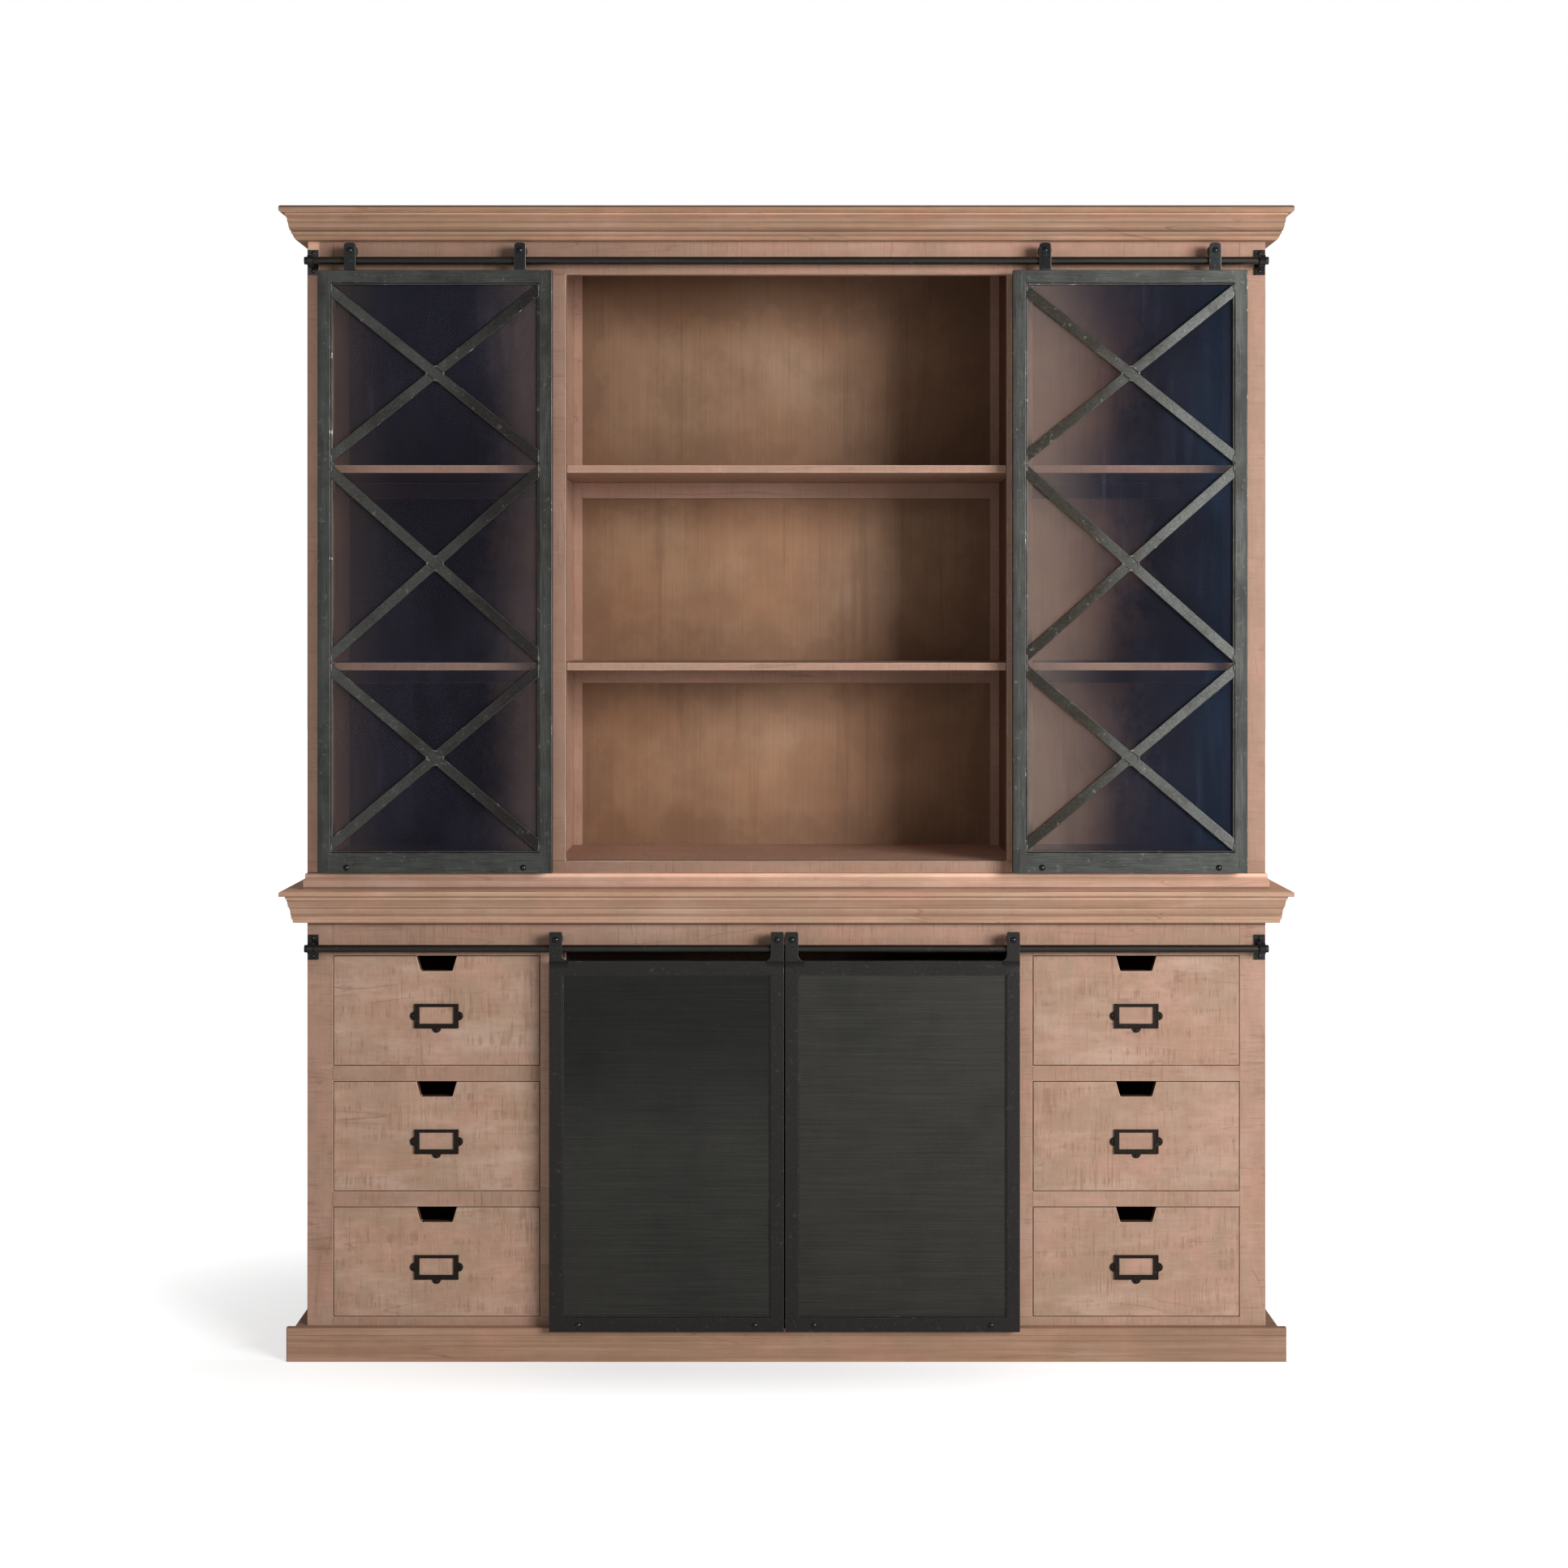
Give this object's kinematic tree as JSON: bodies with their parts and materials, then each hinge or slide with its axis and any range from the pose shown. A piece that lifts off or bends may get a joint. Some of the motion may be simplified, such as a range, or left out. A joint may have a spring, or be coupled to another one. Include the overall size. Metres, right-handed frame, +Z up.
{
  "type": "dresser with hutch",
  "caption": "Wide wooden dresser and open hutch with finger-notch drawers, a cupboard, and steel and braced glass doors that hang from wheels on two round rails.",
  "frame": {"origin": "on the floor under the middle of the whole outline", "axes": "+X to the right of someone facing the front, +Y from the front to the back, +Z up"},
  "size_m": [2.1, 0.45, 2.4],
  "materials": {
    "carcass_wood": "lime-washed, matt",
    "face_wood": "lime-washed with saw marks, matt",
    "moulding_wood": "lime-washed with dark grooves, matt",
    "shelf_wood": "lime-washed, matt",
    "back_wood": "stained, blotchy, matt",
    "drawer_front_wood": "lime-washed with heavy saw marks, matt",
    "drawer_box_wood": "plain, matt",
    "label_metal": "dark bronze, half matt",
    "rail_steel": "blackened, waxed",
    "bracket_steel": "blackened, waxed",
    "glass_door_steel": "gunmetal with worn bright edges",
    "steel_door_frame": "blackened, waxed",
    "steel_sheet": "blackened with fine brushed streaks",
    "pane_glass": "clear",
    "bolt_steel": "glossy black domes",
    "wheel_steel": "turned, oiled"
  },
  "bodies": {
    "carcass": {"plinth": "face_wood", "base_sides": "carcass_wood", "base_bottom": "carcass_wood", "base_dividers": "carcass_wood", "base_back": "back_wood", "base_face_frame": "face_wood", "cupboard_shelf": "carcass_wood", "drawer_runners": "carcass_wood", "worktop": "moulding_wood", "worktop_moulding": "moulding_wood", "hutch_base_board": "moulding_wood", "hutch_sides": "carcass_wood", "hutch_dividers": "carcass_wood", "hutch_back": "back_wood", "hutch_floor": "carcass_wood", "hutch_face_frame": "face_wood", "hutch_shelves": "shelf_wood", "shelf_cleats": "carcass_wood", "crown_cap": "moulding_wood", "crown_moulding": "moulding_wood", "rails": "rail_steel", "rail_brackets": "bracket_steel"},
    "left_bottom_drawer": {"left_bottom_drawer_front": "drawer_front_wood", "left_bottom_drawer_box": "drawer_box_wood", "left_bottom_drawer_label_holder": "label_metal"},
    "left_middle_drawer": {"left_middle_drawer_front": "drawer_front_wood", "left_middle_drawer_box": "drawer_box_wood", "left_middle_drawer_label_holder": "label_metal"},
    "left_top_drawer": {"left_top_drawer_front": "drawer_front_wood", "left_top_drawer_box": "drawer_box_wood", "left_top_drawer_label_holder": "label_metal"},
    "right_bottom_drawer": {"right_bottom_drawer_front": "drawer_front_wood", "right_bottom_drawer_box": "drawer_box_wood", "right_bottom_drawer_label_holder": "label_metal"},
    "right_middle_drawer": {"right_middle_drawer_front": "drawer_front_wood", "right_middle_drawer_box": "drawer_box_wood", "right_middle_drawer_label_holder": "label_metal"},
    "right_top_drawer": {"right_top_drawer_front": "drawer_front_wood", "right_top_drawer_box": "drawer_box_wood", "right_top_drawer_label_holder": "label_metal"},
    "left_steel_door": {"left_steel_door_frame": "steel_door_frame", "left_steel_door_sheet": "steel_sheet", "left_steel_door_fixings": "bolt_steel"},
    "left_steel_door_left_wheel": {"left_steel_door_left_wheel": "wheel_steel"},
    "left_steel_door_right_wheel": {"left_steel_door_right_wheel": "wheel_steel"},
    "right_steel_door": {"right_steel_door_frame": "steel_door_frame", "right_steel_door_sheet": "steel_sheet", "right_steel_door_fixings": "bolt_steel"},
    "right_steel_door_left_wheel": {"right_steel_door_left_wheel": "wheel_steel"},
    "right_steel_door_right_wheel": {"right_steel_door_right_wheel": "wheel_steel"},
    "left_glass_door": {"left_glass_door_frame": "glass_door_steel", "left_glass_door_glass": "pane_glass", "left_glass_door_fixings": "bolt_steel"},
    "left_glass_door_left_wheel": {"left_glass_door_left_wheel": "wheel_steel"},
    "left_glass_door_right_wheel": {"left_glass_door_right_wheel": "wheel_steel"},
    "right_glass_door": {"right_glass_door_frame": "glass_door_steel", "right_glass_door_glass": "pane_glass", "right_glass_door_fixings": "bolt_steel"},
    "right_glass_door_left_wheel": {"right_glass_door_left_wheel": "wheel_steel"},
    "right_glass_door_right_wheel": {"right_glass_door_right_wheel": "wheel_steel"}
  },
  "joints": [
    {"name": "left_bottom_drawer_slide", "type": "slide", "parent": "carcass", "child": "left_bottom_drawer", "axis": [0, -1, 0], "range_m": [0, 0.3]},
    {"name": "left_middle_drawer_slide", "type": "slide", "parent": "carcass", "child": "left_middle_drawer", "axis": [0, -1, 0], "range_m": [0, 0.3]},
    {"name": "left_top_drawer_slide", "type": "slide", "parent": "carcass", "child": "left_top_drawer", "axis": [0, -1, 0], "range_m": [0, 0.3]},
    {"name": "right_bottom_drawer_slide", "type": "slide", "parent": "carcass", "child": "right_bottom_drawer", "axis": [0, -1, 0], "range_m": [0, 0.3]},
    {"name": "right_middle_drawer_slide", "type": "slide", "parent": "carcass", "child": "right_middle_drawer", "axis": [0, -1, 0], "range_m": [0, 0.3]},
    {"name": "right_top_drawer_slide", "type": "slide", "parent": "carcass", "child": "right_top_drawer", "axis": [0, -1, 0], "range_m": [0, 0.3]},
    {"name": "left_steel_door_slide", "type": "slide", "parent": "carcass", "child": "left_steel_door", "axis": [1, 0, 0], "range_m": [-0.47, 0]},
    {"name": "left_steel_door_left_wheel_spin", "type": "hinge", "parent": "left_steel_door", "child": "left_steel_door_left_wheel", "pos_m": [-0.478, -0.203, 0.88], "axis": [0, 1, 0], "range_deg": [-2255, 10]},
    {"name": "left_steel_door_right_wheel_spin", "type": "hinge", "parent": "left_steel_door", "child": "left_steel_door_right_wheel", "pos_m": [-0.019, -0.203, 0.88], "axis": [0, 1, 0], "range_deg": [-2255, 10]},
    {"name": "right_steel_door_slide", "type": "slide", "parent": "carcass", "child": "right_steel_door", "axis": [-1, 0, 0], "range_m": [-0.47, 0]},
    {"name": "right_steel_door_left_wheel_spin", "type": "hinge", "parent": "right_steel_door", "child": "right_steel_door_left_wheel", "pos_m": [0.011, -0.203, 0.88], "axis": [0, 1, 0], "range_deg": [-10, 2255]},
    {"name": "right_steel_door_right_wheel_spin", "type": "hinge", "parent": "right_steel_door", "child": "right_steel_door_right_wheel", "pos_m": [0.47, -0.203, 0.88], "axis": [0, 1, 0], "range_deg": [-10, 2255]},
    {"name": "left_glass_door_slide", "type": "slide", "parent": "carcass", "child": "left_glass_door", "axis": [1, 0, 0], "range_m": [-0.02, 0.479]},
    {"name": "left_glass_door_left_wheel_spin", "type": "hinge", "parent": "left_glass_door", "child": "left_glass_door_left_wheel", "pos_m": [-0.904, -0.203, 2.308], "axis": [0, 1, 0], "range_deg": [-106, 2298]},
    {"name": "left_glass_door_right_wheel_spin", "type": "hinge", "parent": "left_glass_door", "child": "left_glass_door_right_wheel", "pos_m": [-0.552, -0.203, 2.308], "axis": [0, 1, 0], "range_deg": [-106, 2298]},
    {"name": "right_glass_door_slide", "type": "slide", "parent": "carcass", "child": "right_glass_door", "axis": [-1, 0, 0], "range_m": [-0.02, 0.46]},
    {"name": "right_glass_door_left_wheel_spin", "type": "hinge", "parent": "right_glass_door", "child": "right_glass_door_left_wheel", "pos_m": [0.536, -0.203, 2.308], "axis": [0, 1, 0], "range_deg": [-2207, 106]},
    {"name": "right_glass_door_right_wheel_spin", "type": "hinge", "parent": "right_glass_door", "child": "right_glass_door_right_wheel", "pos_m": [0.888, -0.203, 2.308], "axis": [0, 1, 0], "range_deg": [-2207, 106]}
  ],
  "couplings": [
    {"joint": "left_steel_door_left_wheel_spin", "follows": "left_steel_door_slide", "rad_per_m": 83.333},
    {"joint": "left_steel_door_right_wheel_spin", "follows": "left_steel_door_slide", "rad_per_m": 83.333},
    {"joint": "right_steel_door_left_wheel_spin", "follows": "right_steel_door_slide", "rad_per_m": -83.333},
    {"joint": "right_steel_door_right_wheel_spin", "follows": "right_steel_door_slide", "rad_per_m": -83.333},
    {"joint": "left_glass_door_left_wheel_spin", "follows": "left_glass_door_slide", "rad_per_m": 83.333},
    {"joint": "left_glass_door_right_wheel_spin", "follows": "left_glass_door_slide", "rad_per_m": 83.333},
    {"joint": "right_glass_door_left_wheel_spin", "follows": "right_glass_door_slide", "rad_per_m": -83.333},
    {"joint": "right_glass_door_right_wheel_spin", "follows": "right_glass_door_slide", "rad_per_m": -83.333}
  ]
}
